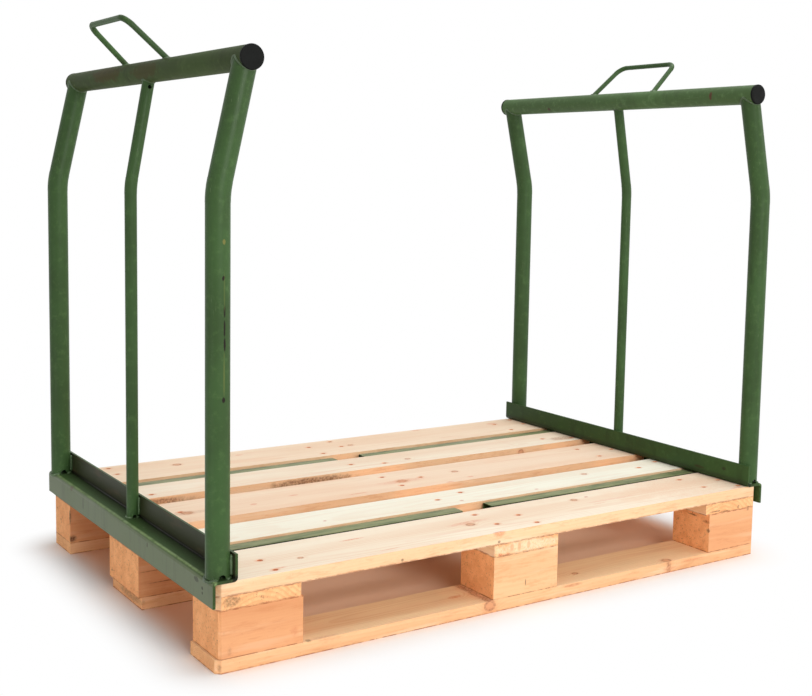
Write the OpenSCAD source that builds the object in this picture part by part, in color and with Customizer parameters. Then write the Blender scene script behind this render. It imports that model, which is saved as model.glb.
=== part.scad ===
// Pallet stacking frame: two tube end frames that hook over the ends of a four-way wooden pallet.
// X runs along the pallet, Y across it, and Z is up from the floor.

/* [Pallet] */
// Length of the pallet
pallet_l = 1200; // [1100:10:1300]
// Width of the pallet
pallet_w = 800; // [785:5:900]
// Thickness of every board
board_t = 22; // [18:0.5:26]
// Width of the stringer boards and the middle bottom board, which is the blocks' length too
wide_w = 145; // [130:1:150]
// Width of the outer and middle deck boards
deck_w = 138; // [125:1:145]
// Width of the two narrow deck boards
narrow_w = 98; // [85:1:106]
// Width of the outer bottom boards and of the outer blocks
outer_w = 100; // [85:1:110]
// Height of the blocks
block_h = 78; // [70:1:95]
// Setback of the near left block from the pallet's end
near_setback = 4; // [0:0.5:8]
// How much shorter the near right block is than the others, at its inner end
near_short = 11; // [0:1:14]
// Setback of the middle bottom board's ends from the pallet ends
middle_setback = 6; // [0:0.5:10]
// Size of the 45 degree cut at the four corners
corner_cut = 8; // [2:0.5:16]

/* [Nails] */
// Diameter of a nail shank
nail_d = 4.5; // [3:0.1:6]
// Diameter of a nail head
nail_head_d = 9.5; // [8:0.5:12]
// Thickness of a nail head
nail_head_t = 1.5; // [1:0.1:2]
// Depth of a nail head below the wood
nail_sink = 1; // [0.5:0.1:2]
// Length of the deck nails over a block
deck_nail_l = 88; // [75:1:90]
// Length of the deck nails that end in a stringer board
short_nail_l = 36; // [30:1:40]
// Length of the bottom nails
bottom_nail_l = 46; // [40:1:48]
// Distance of a column of deck nails from the middle of a stringer board
nail_col = 35; // [32:1:45]
// Distance of a column of bottom nails from the middle of a block
bottom_nail_col = 25; // [15:1:28]
// Step between nails across a board
nail_step = 27.5; // [20:0.5:29]

/* [Base rail] */
// Thickness of the bent rail
rail_t = 5; // [3:0.5:6]
// Width of the rail over both flanges
rail_w = 42; // [36:1:60]
// Overhang of the rail past each side of the pallet
rail_over = 6; // [2:1:20]
// Height of the up flange above the deck
rail_up = 44; // [35:1:60]
// Reach of the down flange below the deck
rail_down = 37; // [25:1:44]
// Inner radius of the two rail bends
rail_bend_r = 2; // [1:0.5:4]
// Gap between the pallet end and the down flange
rail_gap = 4; // [2:0.5:8]

/* [Posts and crossbar] */
// Diameter of the outer posts and the crossbar
tube_d = 38; // [32:0.5:42]
// Wall of the outer posts and the crossbar
tube_wall = 2; // [1.5:0.1:3]
// Diameter of the centre post
centre_d = 21.3; // [18:0.1:30]
// Wall of the centre post
centre_wall = 2; // [1.5:0.1:3]
// Overhang of the crossbar tube past each side of the pallet
bar_over = 2; // [0:1:20]
// Height of the crossbar's top above the deck
stack_h = 811; // [750:1:1000]
// Distance of the crossbar's axis inwards from the pallet end
bar_inset = 54; // [40:1:70]
// Height above the deck where the posts bend inwards
bend_h = 594; // [500:1:620]
// Radius of the bend in the posts
bend_r = 150; // [100:5:200]
// Diameter of the vent notches at the foot of the outer posts
vent_d = 12; // [6:0.5:14]
// Diameter of the vent notches and the vent hole of the centre post
centre_vent_d = 7; // [5:0.5:9]
// Height of the vent notches' middle above the rail
vent_z = 2; // [1:0.5:3]
// Distance of the centre post's vent hole from its upper weld
vent_drop = 0.5; // [0:0.5:10]
// Thickness of a crossbar plug's head
plug_t = 4; // [3:0.5:6]
// Length of a crossbar plug's stem
plug_stem = 18; // [12:1:30]

/* [Handle] */
// Diameter of the handle rod
handle_d = 10; // [8:0.5:14]
// Distance between the two feet of the handle
handle_feet = 192; // [160:2:240]
// Distance between the two upper corners of the handle
handle_top = 172; // [140:2:190]
// Length of the handle from the crossbar to its grip
handle_l = 94; // [70:1:120]
// Lean of the handle outwards, in degrees from upright
handle_lean = 48; // [30:1:60]
// Radius of the handle's corners
handle_r = 22; // [15:1:28]
// Offset of the handle from the middle of the crossbar
handle_off = 14; // [0:1:40]

/* [Prongs] */
// Clearance between a prong and the narrow deck board beside it
prong_clear = 5; // [3:0.5:8]
// Clearance between a prong and the outer deck board beside it
prong_out_clear = 12.5; // [5:0.5:14]
// Depth of a prong's top below the deck
prong_low = 2; // [1:0.5:4]
// Wall of a prong
prong_wall = 2; // [1.5:0.1:3]
// Outer radius of a prong's edges
prong_r = 3; // [2:0.5:4]
// Gap between the ends of two facing prongs
prong_gap = 68; // [20:2:200]

/* [Welds] */
// Leg of the weld seams on the posts
weld = 4; // [2:0.5:5]
// Leg of the weld seams on the handle and the prongs
small_weld = 2.5; // [1.5:0.25:3]

/* [Hidden] */
$fn = 48;
eps = 0.5;

WOOD = [0.93, 0.76, 0.56];
BLOCK_WOOD = [0.86, 0.62, 0.40];
GREEN = [0.28, 0.39, 0.27];
BLACK = [0.09, 0.09, 0.09];
RUST = [0.55, 0.25, 0.14];

// Heights of the pallet's layers
block_z = board_t;
stringer_z = block_z + block_h;
board_z = stringer_z + board_t;
deck_z = board_z + board_t;

// Places of the deck boards across the pallet
deck_gap = (pallet_w - 3 * deck_w - 2 * narrow_w) / 4;
outer_y = (pallet_w - deck_w) / 2;
mid_y = (deck_w + narrow_w) / 2 + deck_gap;

// Stringer boards from left to right
block_l = wide_w;
stringer_x = (pallet_l - wide_w) / 2;
STRINGERS = [-stringer_x, 0, stringer_x];
row_y = (pallet_w - outer_w) / 2;
// Rows from near to far: place across the pallet, width, the bottom board's setback, the left
// block's setback, and how much shorter the right block is
ROWS = [
    [-row_y, outer_w, 0, near_setback, near_short], [0, wide_w, middle_setback, 0, 0], [row_y, outer_w, 0, 0, 0]
];
function block_length(column, row) = block_l - (column == 2 ? row[4] : 0);
function block_x(column, row) =
    (column - 1) * (pallet_l - block_length(column, row)) / 2 + (column == 0 ? row[3] : 0);

// Nails of one crossing: column, and place across the board in nail steps, outwards positive
OUTER_NAILS = [[1, -0.1], [1, 1.9], [-1, 0.9], [-1, -1.6]];
NARROW_NAILS = [[-1, 0], [1, -0.85]];
MIDDLE_NAILS = [[-1, -1.4], [-1, 1.4], [1, 0]];
BOTTOM_NAILS = [[-1, -1], [-1, 1], [1, 0]];

// Deck boards from near to far: place across the pallet, width and nails
DECK = [
    [-outer_y, deck_w, OUTER_NAILS], [-mid_y, narrow_w, NARROW_NAILS], [0, deck_w, MIDDLE_NAILS],
    [mid_y, narrow_w, NARROW_NAILS], [outer_y, deck_w, OUTER_NAILS]
];
nail_hole_d = nail_d + 0.1;
head_hole_d = nail_head_d + 0.4;

function outward(y) = y < 0 ? -1 : 1;
function over_block(y) = abs(y) < wide_w / 2 || abs(y) > pallet_w / 2 - outer_w;
function deck_nail_length(y) = over_block(y) ? deck_nail_l : short_nail_l;

// Places of the nails of one deck board, and of one bottom board
function board_nails(i) = [
    for (x = STRINGERS, n = DECK[i][2])
        [x + n[0] * nail_col, DECK[i][0] + outward(DECK[i][0]) * n[1] * nail_step]
];
function bottom_nails_of(row) = [
    for (i = [0 : 2], n = BOTTOM_NAILS) [block_x(i, row) + n[0] * bottom_nail_col, row[0] + n[1] * nail_step]
];

// Base rail
rail_l = pallet_w + 2 * rail_over;
rail_out = pallet_l / 2 + rail_gap + rail_t;
rail_in = rail_out - rail_w;
face_x = rail_in + rail_t;
web_z = deck_z + rail_t;
rail_outer_r = rail_bend_r + rail_t;

// Posts and crossbar
bar_l = pallet_w + 2 * bar_over;
post_x = face_x + tube_d / 2;
post_y = (bar_l - tube_d) / 2;
centre_x = face_x + centre_d / 2;
bar_x = pallet_l / 2 - bar_inset;
bar_z = deck_z + stack_h - tube_d / 2;
bend_z = deck_z + bend_h;
bar_bore = tube_d - 2 * tube_wall;
// A bend is this much wider than the straight tube, and the straight parts run this far into it
swell = 0.4;
bend_lap = 2;
// The posts' coped ends stop this far short of the crossbar's axis
cope_short = 4;
plug_head_d = tube_d + 0.8;
plug_edge = 1.5;
plug_stem_d = bar_bore - 2;
rib_t = 1.5;

// Handle and prongs
handle_foot_x = 3;
handle_foot_z = sqrt(pow(tube_d / 2, 2) - pow(handle_foot_x, 2));
handle_taper = atan((handle_feet - handle_top) / 2 / handle_l);
handle_leg = sqrt(pow((handle_feet - handle_top) / 2, 2) + pow(handle_l, 2));
handle_tangent = handle_r * tan((90 - handle_taper) / 2);
corner_lap = 0.8;
prong_w = deck_gap - prong_clear - prong_out_clear;
prong_y = mid_y + narrow_w / 2 + prong_clear + prong_w / 2;
prong_h = board_t - prong_low;

// A rectangular piece of the pallet, with the pallet's cut corners
module timber(x, y, z, size) {
    c = corner_cut;
    l = pallet_l / 2;
    w = pallet_w / 2;
    intersection() {
        translate([x - size[0] / 2, y - size[1] / 2, z]) cube(size);
        translate([0, 0, z - eps]) linear_extrude(size[2] + 2 * eps)
            polygon([[-l + c, -w], [l - c, -w], [l, -w + c], [l, w - c],
                     [l - c, w], [-l + c, w], [-l, w - c], [-l, -w + c]]);
    }
}

// A nail with its head down to top_z, pointing down
module nail(x, y, top_z, length) {
    translate([x, y, top_z - nail_head_t]) cylinder(d = nail_head_d, h = nail_head_t);
    translate([x, y, top_z - length]) cylinder(d = nail_d, h = length);
}

// The hole that such a nail leaves, with a sinking for its head up to the wood's face
module nail_hole(x, y, top_z, length, depth) {
    translate([x, y, top_z - nail_head_t]) cylinder(d = head_hole_d, h = nail_head_t + depth + eps);
    translate([x, y, top_z - length - eps]) cylinder(d = nail_hole_d, h = length + eps);
}

// Holes of one deck board's nails, those less than reach from x
module deck_holes(i, x, reach) {
    for (n = board_nails(i)) if (abs(n[0] - x) < reach)
        nail_hole(n[0], n[1], deck_z - nail_sink, deck_nail_length(n[1]), nail_sink);
}

// Holes of one bottom board's nails, those less than reach from x
module bottom_holes(row, x, reach) {
    for (n = bottom_nails_of(row)) if (abs(n[0] - x) < reach)
        mirror([0, 0, 1]) nail_hole(n[0], n[1], -nail_sink, bottom_nail_l, nail_sink);
}

module deck_board(i) {
    color(WOOD) difference() {
        timber(0, DECK[i][0], board_z, [pallet_l, DECK[i][1], board_t]);
        deck_holes(i, 0, pallet_l);
    }
}

module stringer_board(x) {
    color(WOOD) difference() {
        timber(x, 0, stringer_z, [wide_w, pallet_w, board_t]);
        for (i = [0 : 4]) deck_holes(i, x, wide_w / 2);
    }
}

// Block in a column and a row, under deck board 0, 2 or 4
module block(column, k) {
    row = ROWS[k];
    x = block_x(column, row);
    l = block_length(column, row);
    color(BLOCK_WOOD) difference() {
        timber(x, row[0], block_z, [l, row[1], block_h]);
        deck_holes(2 * k, x, l / 2);
        bottom_holes(row, x, l / 2);
    }
}

module bottom_board(row) {
    color(WOOD) difference() {
        timber(0, row[0], 0, [pallet_l - 2 * row[2], row[1], board_t]);
        bottom_holes(row, 0, pallet_l);
    }
}

module deck_nails() {
    color(RUST) for (i = [0 : 4], n = board_nails(i))
        nail(n[0], n[1], deck_z - nail_sink, deck_nail_length(n[1]));
}

module bottom_nails() {
    color(RUST) for (row = ROWS, n = bottom_nails_of(row))
        mirror([0, 0, 1]) nail(n[0], n[1], -nail_sink, bottom_nail_l);
}

// Quarter of a ring about the origin, in the quadrant that the two signs give
module elbow(sx, sz) {
    intersection() {
        difference() {
            circle(r = rail_outer_r);
            circle(r = rail_bend_r);
        }
        translate([sx > 0 ? 0 : -rail_outer_r, sz > 0 ? 0 : -rail_outer_r]) square(rail_outer_r);
    }
}

// Section of the rail: up flange inside, web on the deck, down flange outside the pallet end
module rail_section() {
    r = rail_outer_r;
    translate([rail_in, deck_z + r]) square([rail_t, rail_up - r]);
    translate([rail_in + r, deck_z + r]) elbow(-1, -1);
    translate([rail_in + r, deck_z]) square([rail_w - 2 * r, rail_t]);
    translate([rail_out - r, web_z - r]) elbow(1, 1);
    translate([rail_out - rail_t, deck_z - rail_down]) square([rail_t, rail_down + rail_t - r]);
}

module base_rail() {
    color(GREEN) rotate([90, 0, 0]) linear_extrude(rail_l, center = true) rail_section();
}

// Solid cylinder about the crossbar's axis
module bar_rod(d, length) {
    translate([bar_x, 0, bar_z]) rotate([90, 0, 0]) cylinder(d = d, h = length, center = true);
}

// A post's lean, the length of its bend before and after the kink, and its reach from kink to crossbar
function lean(x) = atan((x - bar_x) / (bar_z - bend_z));
function tangent(x) = bend_r * tan(lean(x) / 2);
function reach(x) = sqrt(pow(x - bar_x, 2) + pow(bar_z - bend_z, 2));

// Puts the origin at the end of a post's bend, with Z along the leaning part
module lean_place(x, y) {
    translate([x - bend_r, y, bend_z - tangent(x)]) rotate([0, -lean(x), 0])
        translate([bend_r, 0, 0]) children();
}

// Rod along a post's path: upright, bent inwards, then straight to the crossbar
module bent_rod(x, y, d, over) {
    translate([x, y, web_z - over]) cylinder(d = d, h = bend_z - tangent(x) - web_z + over + bend_lap);
    translate([x - bend_r, y, bend_z - tangent(x)]) rotate([90, 0, 0])
        rotate_extrude(angle = lean(x), $fn = 144) translate([bend_r, 0]) circle(d = d + swell, $fn = 48);
    lean_place(x, y) translate([0, 0, -bend_lap])
        cylinder(d = d, h = reach(x) - tangent(x) - cope_short + over + bend_lap);
}

// Cutter of the two vent notches at a post's foot
module vents(x, y, d, hole_d) {
    translate([x, y, web_z + vent_z]) rotate([90, 0, 0]) cylinder(d = hole_d, h = 2 * d, center = true);
}

// Hollow post with vent notches at the foot, coped to the crossbar
module post(x, y, d, wall, hole_d) {
    color(GREEN) difference() {
        bent_rod(x, y, d, 0);
        bent_rod(x, y, d - 2 * wall, eps);
        bar_rod(tube_d, bar_l + tube_d);
        vents(x, y, d, hole_d);
    }
}

module outer_post(side) {
    post(post_x, side * post_y, tube_d, tube_wall, vent_d);
}

// Centre post, with a vent hole in one side just below the crossbar's weld too
module centre_post() {
    top = reach(centre_x) - tangent(centre_x) - tube_d / 2 - weld - vent_drop - centre_vent_d / 2;
    color(GREEN) difference() {
        post(centre_x, 0, centre_d, centre_wall, centre_vent_d);
        lean_place(centre_x, 0) translate([0, 0, top]) rotate([-90, 0, 0])
            cylinder(d = centre_vent_d, h = centre_d);
    }
}

module crossbar() {
    color(GREEN) difference() {
        bar_rod(tube_d, bar_l);
        bar_rod(bar_bore, bar_l + 2 * eps);
    }
}

// Half section of a plug: ribbed stem inside the tube, rounded head outside it
module plug_section() {
    translate([0, -plug_stem]) square([plug_stem_d / 2, plug_stem]);
    for (i = [1 : 3]) translate([0, -i * plug_stem / 3]) square([bar_bore / 2, rib_t]);
    square([plug_head_d / 2, plug_t - plug_edge]);
    square([plug_head_d / 2 - plug_edge, plug_t]);
    translate([plug_head_d / 2 - plug_edge, plug_t - plug_edge]) intersection() {
        circle(r = plug_edge);
        square(plug_edge);
    }
}

module plug(side) {
    color(BLACK) translate([bar_x, side * bar_l / 2, bar_z]) rotate([-side * 90, 0, 0])
        rotate_extrude() plug_section();
}

// Puts the handle's own plane, feet at the origin, onto the crossbar
module handle_place() {
    translate([bar_x + handle_foot_x, -handle_off, bar_z + handle_foot_z])
        rotate([0, handle_lean, 0]) rotate([90, 0, 90]) children();
}

// One leg of the handle in its own plane, sunk into the crossbar
module handle_leg_rod(side, d, length) {
    sunk = tube_d / 4;
    translate([side * handle_feet / 2, 0, 0]) rotate([-90, 0, side * handle_taper])
        translate([0, 0, -sunk]) cylinder(d = d, h = length + sunk);
}

// Round corner of the handle, drawn for the side of positive X
module handle_corner() {
    translate([handle_top / 2 - handle_tangent, handle_l - handle_r, 0])
        rotate([0, 0, handle_taper]) rotate_extrude(angle = 90 - handle_taper)
        translate([handle_r, 0]) circle(d = handle_d + swell);
}

module handle() {
    leg = handle_leg - handle_tangent + corner_lap;
    grip = handle_top - 2 * (handle_tangent - corner_lap);
    color(GREEN) difference() {
        handle_place() {
            for (side = [-1, 1]) handle_leg_rod(side, handle_d, leg);
            handle_corner();
            mirror([1, 0, 0]) handle_corner();
            translate([0, handle_l, 0]) rotate([0, 90, 0])
                cylinder(d = handle_d, h = grip, center = true);
        }
        bar_rod(tube_d, bar_l);
    }
}

// Rectangle with round corners, centred
module round_rect(w, h, r) {
    square([w - 2 * r, h], center = true);
    square([w, h - 2 * r], center = true);
    for (sx = [-1, 1], sy = [-1, 1]) translate([sx * (w / 2 - r), sy * (h / 2 - r)]) circle(r = r);
}

module prong(side) {
    length = rail_out - rail_t - prong_gap / 2;
    color(GREEN) translate([prong_gap / 2, side * prong_y, board_z + prong_h / 2]) rotate([90, 0, 90])
        difference() {
            linear_extrude(length) round_rect(prong_w, prong_h, prong_r);
            translate([0, 0, -eps]) linear_extrude(length + 2 * eps)
                round_rect(prong_w - 2 * prong_wall, prong_h - 2 * prong_wall, prong_r - prong_wall / 2);
        }
}

// Seams along both sides of a post, against the up flange and above the rail's inner bend
module flange_seams(x, y, d) {
    reach = sqrt(d * weld);
    intersection() {
        difference() {
            for (side = [-1, 1])
                translate([face_x + weld / 2, y + side * reach, web_z + rail_bend_r])
                cylinder(r = weld, h = rail_up - rail_t - weld - rail_bend_r);
            translate([x, y, web_z - eps]) cylinder(d = d, h = rail_up);
        }
        translate([face_x, y - d, web_z]) cube([d, 2 * d, rail_up]);
    }
}

// Seam round a post's foot on the flat of the web, between its vent notches and the flange
module foot_seam(x, y, d, hole_d) {
    intersection() {
        difference() {
            translate([x, y, web_z]) cylinder(d1 = d + 2 * weld, d2 = d + weld / 2, h = weld);
            translate([x, y, web_z - eps]) cylinder(d = d, h = weld + 2 * eps);
            vents(x, y, d, hole_d);
        }
        translate([face_x + weld, y - d, web_z])
            cube([rail_out - rail_outer_r - face_x - weld, 2 * d, weld]);
    }
}

// Seam round a post's coped end on the crossbar
module cope_seam(x, y, d) {
    length = reach(x) - tangent(x) - cope_short;
    intersection() {
        difference() {
            lean_place(x, y) translate([0, 0, length - 2 * d]) cylinder(d = d + 2 * weld, h = 2 * d);
            lean_place(x, y) translate([0, 0, length - 2 * d - eps]) cylinder(d = d, h = 2 * d + 2 * eps);
            bar_rod(tube_d, bar_l + tube_d);
        }
        bar_rod(tube_d + 2 * weld, bar_l - weld);
    }
}

// Seam round a foot of the handle
module handle_seam(side) {
    intersection() {
        difference() {
            handle_place() handle_leg_rod(side, handle_d + 2 * small_weld, handle_d);
            handle_place() handle_leg_rod(side, handle_d, handle_d + eps);
            bar_rod(tube_d, bar_l);
        }
        bar_rod(tube_d + 2 * small_weld, bar_l);
    }
}

// Seams along a prong's upper edges under the web
module prong_seams(side) {
    half = prong_w / 2;
    difference() {
        for (edge = [-1, 1])
            translate([rail_in + rail_outer_r, side * prong_y + edge * (half - prong_r / 2), 0])
                translate([0, 0, deck_z - small_weld]) rotate([0, 90, 0])
                cylinder(r = small_weld, h = rail_w - 2 * rail_outer_r);
        translate([0, side * prong_y - half, board_z]) cube([rail_out, 2 * half, prong_h]);
    }
}

module welds() {
    color(GREEN) {
        for (side = [-1, 1]) {
            flange_seams(post_x, side * post_y, tube_d);
            foot_seam(post_x, side * post_y, tube_d, vent_d);
            cope_seam(post_x, side * post_y, tube_d);
            handle_seam(side);
            prong_seams(side);
        }
        flange_seams(centre_x, 0, centre_d);
        foot_seam(centre_x, 0, centre_d, centre_vent_d);
        cope_seam(centre_x, 0, centre_d);
    }
}

// The left end frame is the same part turned half round
module left() {
    rotate([0, 0, 180]) children();
}

deck_board(0);  // near_deck_board
deck_board(1);  // near_mid_deck_board
deck_board(2);  // middle_deck_board
deck_board(3);  // far_mid_deck_board
deck_board(4);  // far_deck_board
stringer_board(STRINGERS[0]);  // left_stringer_board
stringer_board(STRINGERS[1]);  // middle_stringer_board
stringer_board(STRINGERS[2]);  // right_stringer_board
block(0, 0);  // near_left_block
block(1, 0);  // near_middle_block
block(2, 0);  // near_right_block
block(0, 1);  // middle_left_block
block(1, 1);  // centre_block
block(2, 1);  // middle_right_block
block(0, 2);  // far_left_block
block(1, 2);  // far_middle_block
block(2, 2);  // far_right_block
bottom_board(ROWS[0]);  // near_bottom_board
bottom_board(ROWS[1]);  // middle_bottom_board
bottom_board(ROWS[2]);  // far_bottom_board
deck_nails();
bottom_nails();
left() base_rail();  // left_base_rail
left() outer_post(1);  // left_near_post
left() outer_post(-1);  // left_far_post
left() centre_post();  // left_centre_post
left() crossbar();  // left_crossbar
left() plug(1);  // left_near_plug
left() plug(-1);  // left_far_plug
left() handle();  // left_handle
left() prong(1);  // left_near_prong
left() prong(-1);  // left_far_prong
left() welds();  // left_welds
base_rail();  // right_base_rail
outer_post(-1);  // right_near_post
outer_post(1);  // right_far_post
centre_post();  // right_centre_post
crossbar();  // right_crossbar
plug(-1);  // right_near_plug
plug(1);  // right_far_plug
handle();  // right_handle
prong(-1);  // right_near_prong
prong(1);  // right_far_prong
welds();  // right_welds
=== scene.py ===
"""Looks of the pallet stacking frame: painted tube end frames on a wooden pallet."""

import math
import random

import bmesh
import bpy
from mathutils import Matrix, Vector, noise


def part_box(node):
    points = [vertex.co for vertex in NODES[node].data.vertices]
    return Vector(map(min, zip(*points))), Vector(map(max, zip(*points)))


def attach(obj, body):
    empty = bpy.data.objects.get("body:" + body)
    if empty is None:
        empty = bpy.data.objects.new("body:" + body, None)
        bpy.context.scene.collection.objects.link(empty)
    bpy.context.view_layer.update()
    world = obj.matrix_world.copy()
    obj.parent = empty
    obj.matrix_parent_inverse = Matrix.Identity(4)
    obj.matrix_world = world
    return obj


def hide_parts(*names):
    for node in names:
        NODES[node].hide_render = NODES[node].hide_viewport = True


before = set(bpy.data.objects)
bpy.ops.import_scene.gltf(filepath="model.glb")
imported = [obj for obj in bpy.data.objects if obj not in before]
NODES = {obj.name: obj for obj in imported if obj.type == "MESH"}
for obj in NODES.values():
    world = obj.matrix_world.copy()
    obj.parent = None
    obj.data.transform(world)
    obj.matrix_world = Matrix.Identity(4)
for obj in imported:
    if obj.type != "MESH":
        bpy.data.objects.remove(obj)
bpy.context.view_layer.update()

# Lengths are in metres, or in mm where a comment says so. Colours are screen colours, 0 to 255,
# which rgb() turns into the linear ones of the shaders.
MM = 0.001
Y_AXIS = Vector((0, 1, 0))


def rgb(*screen):
    """A screen colour as the linear colour that a shader takes."""
    def lin(c):
        c = max(0, min(255, c)) / 255
        return c / 12.92 if c <= 0.04045 else ((c + 0.055) / 1.055) ** 2.4
    return tuple(lin(c) for c in screen)


def toward(a, b, k):
    """The colour at share k of the way from a to b."""
    return tuple(x + (y - x) * k for x, y in zip(a, b))


class Tree:
    """One material's nodes, made by short calls."""

    # Places in the node editor: first column, step to the right, row height and number of rows
    LEFT, STEP, ROW, ROWS = -2400, 40, -300, 7

    def __init__(self, name):
        self.mat = bpy.data.materials.new(name)
        self.mat.use_nodes = True
        self.nt = self.mat.node_tree
        self.bsdf = next(n for n in self.nt.nodes if n.type == "BSDF_PRINCIPLED")
        self.column = self.LEFT

    def node(self, kind, inputs=None, **props):
        n = self.nt.nodes.new(kind)
        n.location = (self.column, self.ROW * (len(self.nt.nodes) % self.ROWS))
        self.column += self.STEP
        for k, v in props.items():
            setattr(n, k, v)
        for k, v in (inputs or {}).items():
            self.put(n.inputs[k], v)
        return n

    def put(self, socket, v):
        """Links another node's output to an input or sets its value; None leaves it alone."""
        if isinstance(v, bpy.types.NodeSocket):
            self.nt.links.new(v, socket)
        elif v is not None:
            socket.default_value = v

    def math(self, op, *values):
        return self.node("ShaderNodeMath", dict(enumerate(values)), operation=op).outputs[0]

    def add(self, a, b):
        return self.math("ADD", a, b)

    def sub(self, a, b):
        return self.math("SUBTRACT", a, b)

    def mul(self, a, b):
        return self.math("MULTIPLY", a, b)

    def abs(self, a):
        return self.math("ABSOLUTE", a)

    def coords(self):
        return self.node("ShaderNodeTexCoord").outputs["Object"]

    def mapping(self, vec, scale=(1, 1, 1), loc=(0, 0, 0)):
        inputs = {"Vector": vec, "Scale": scale, "Location": loc}
        return self.node("ShaderNodeMapping", inputs).outputs[0]

    def noise(self, vec, scale, detail=3, rough=0.5):
        inputs = {"Vector": vec, "Scale": scale, "Detail": detail, "Roughness": rough}
        return self.node("ShaderNodeTexNoise", inputs).outputs["Fac"]

    def grain(self, vec, scales, detail=3, rough=0.5, loc=(0, 0, 0)):
        """Noise with a scale of its own along each axis."""
        return self.noise(self.mapping(vec, scales, loc), 1, detail, rough)

    def ramp(self, fac, lo, hi, a=0.0, b=1.0, kind="SMOOTHSTEP"):
        """Goes from a, where fac is lo, to b, where it is hi, and stays level past both."""
        inputs = {"Value": fac, "From Min": lo, "From Max": hi, "To Min": a, "To Max": b}
        n = self.node("ShaderNodeMapRange", inputs, clamp=True, interpolation_type=kind)
        return n.outputs[0]

    def mix(self, fac, a, b):
        n = self.node("ShaderNodeMix", data_type="RGBA")
        self.put(n.inputs["Factor"], fac)
        for key, v in (("A", a), ("B", b)):
            s = next(i for i in n.inputs if i.name == key and i.type == "RGBA")
            self.put(s, v if isinstance(v, bpy.types.NodeSocket) else (*v, 1))
        return next(o for o in n.outputs if o.type == "RGBA")

    def tint(self, color, fac, screen):
        """Moves a shader's colour toward a screen colour by a factor."""
        return self.mix(fac, color, rgb(*screen))

    def split(self, vec):
        return self.node("ShaderNodeSeparateXYZ", {0: vec}).outputs

    def join(self, x, y, z):
        return self.node("ShaderNodeCombineXYZ", {0: x, 1: y, 2: z}).outputs[0]

    def normal(self):
        return self.split(self.node("ShaderNodeNewGeometry").outputs["Normal"])

    def spot(self, p, at, size, turn=0.0):
        """Distance from a place in mm, as a share of an ellipsoid's half axes in mm."""
        inputs = {"Vector": p, "Location": [c * MM for c in at], "Rotation": (0, 0, turn),
                  "Scale": [c * MM for c in size]}
        n = self.node("ShaderNodeMapping", inputs, vector_type="TEXTURE")
        n = self.node("ShaderNodeVectorMath", {0: n.outputs[0]}, operation="LENGTH")
        return n.outputs["Value"]

    def bump(self, height, dist, strength, after=None):
        inputs = {"Height": height, "Distance": dist, "Strength": strength, "Normal": after}
        return self.node("ShaderNodeBump", inputs).outputs[0]

    def done(self, color, rough, normal=None, specular=0.5, metallic=0.0):
        for key, v in (("Base Color", color), ("Roughness", rough), ("Normal", normal),
                       ("Specular IOR Level", specular), ("Metallic", metallic)):
            self.put(self.bsdf.inputs[key], v)
        return self.mat


# Camera: focal length and centre in pixels of an 812 x 696 picture, axes right, down and ahead
CAM_F, CAM_CX, CAM_CY = 1238.09, 434.506, 301.915
CAM_R = ((0.82794, -0.56049, 0.01925), (-0.04273, -0.09728, -0.99434), (0.55919, 0.82243, -0.10449))
CAM_AT = (-1.3582, -2.0882, 0.7726)
PIC_W, PIC_H = 812, 696
SENSOR_MM, CLIP_END = 36, 60

# Lamps: name, place, aim, size, power in watts and spread in degrees
LAMPS = [
    ("key", (-0.4, -4.0, 1.7), (0, 0, 0.3), (2.2, 1.4), 84, 180),
    ("top", (1.1, -0.1, 3.6), (0, 0, 0.1), (3.0, 3.0), 70, 180),
    ("left", (-3.7, -0.9, 1.2), (0, 0, 0.2), (1.4, 1.6), 3, 180),
    ("low left", (-3.2, -1.0, 0.05), (-0.6, -0.2, 0.03), (1.2, 0.2), 0.6, 30),
    ("right", (3.2, -2.6, 1.6), (0, 0, 0.5), (1.0, 2.2), 22, 180),
]
# The white world's strength as soft light and as what the camera sees
WORLD_LIGHT, WORLD_SEEN = 0.40, 1.0

# Floor: half width, the half sides of the brown patch under the pallet, its two browns, partly the
# paper's own colour and partly painted shade and bounce light from the wood, the white beyond, how
# far out that is reached, and where the floor fades into the background
FLOOR_HALF, FLOOR_CELLS = 16, 8
PAPER_X, PAPER_Y = 0.55, 0.35
PAPER_BROWN_AND_SHADE, PAPER_PALE_AND_SHADE, PAPER_WHITE = (238, 196, 166), (243, 206, 178), (246, 244, 242)
WHITE_AT, FADE = 0.08, (0.035, 0.16)


def link(ob):
    bpy.context.scene.collection.objects.link(ob)
    return ob


def make_camera():
    cam = bpy.data.cameras.new("camera")
    cam.sensor_width = SENSOR_MM
    cam.lens = CAM_F / PIC_W * SENSOR_MM
    cam.shift_x = (PIC_W / 2 - CAM_CX) / PIC_W
    cam.shift_y = (CAM_CY - PIC_H / 2) / PIC_W
    cam.clip_end = CLIP_END
    right, down, ahead = (Vector(r).normalized() for r in CAM_R)
    place = Matrix((right, -down, -ahead)).transposed().to_4x4()
    place.translation = Vector(CAM_AT)
    ob = link(bpy.data.objects.new("camera", cam))
    ob.matrix_world = place
    bpy.context.scene.camera = ob


def make_lamps():
    for name, at, aim, size, power, spread in LAMPS:
        light = bpy.data.lights.new(name, "AREA")
        light.shape = "RECTANGLE"
        light.size, light.size_y = size
        light.energy = power
        light.spread = math.radians(spread)
        turn = (Vector(at) - Vector(aim)).to_track_quat("Z", "Y").to_matrix().to_4x4()
        link(bpy.data.objects.new(name, light)).matrix_world = Matrix.Translation(at) @ turn


def straight_rays(nt):
    """1 for what the camera sees, directly, mirrored or through glass, and 0 for soft light."""
    path = nt.nodes.new("ShaderNodeLightPath")
    out = path.outputs["Is Camera Ray"]
    for other in ("Is Glossy Ray", "Is Transmission Ray"):
        n = nt.nodes.new("ShaderNodeMath")
        n.operation = "MAXIMUM"
        nt.links.new(out, n.inputs[0])
        nt.links.new(path.outputs[other], n.inputs[1])
        out = n.outputs[0]
    return out


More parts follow.
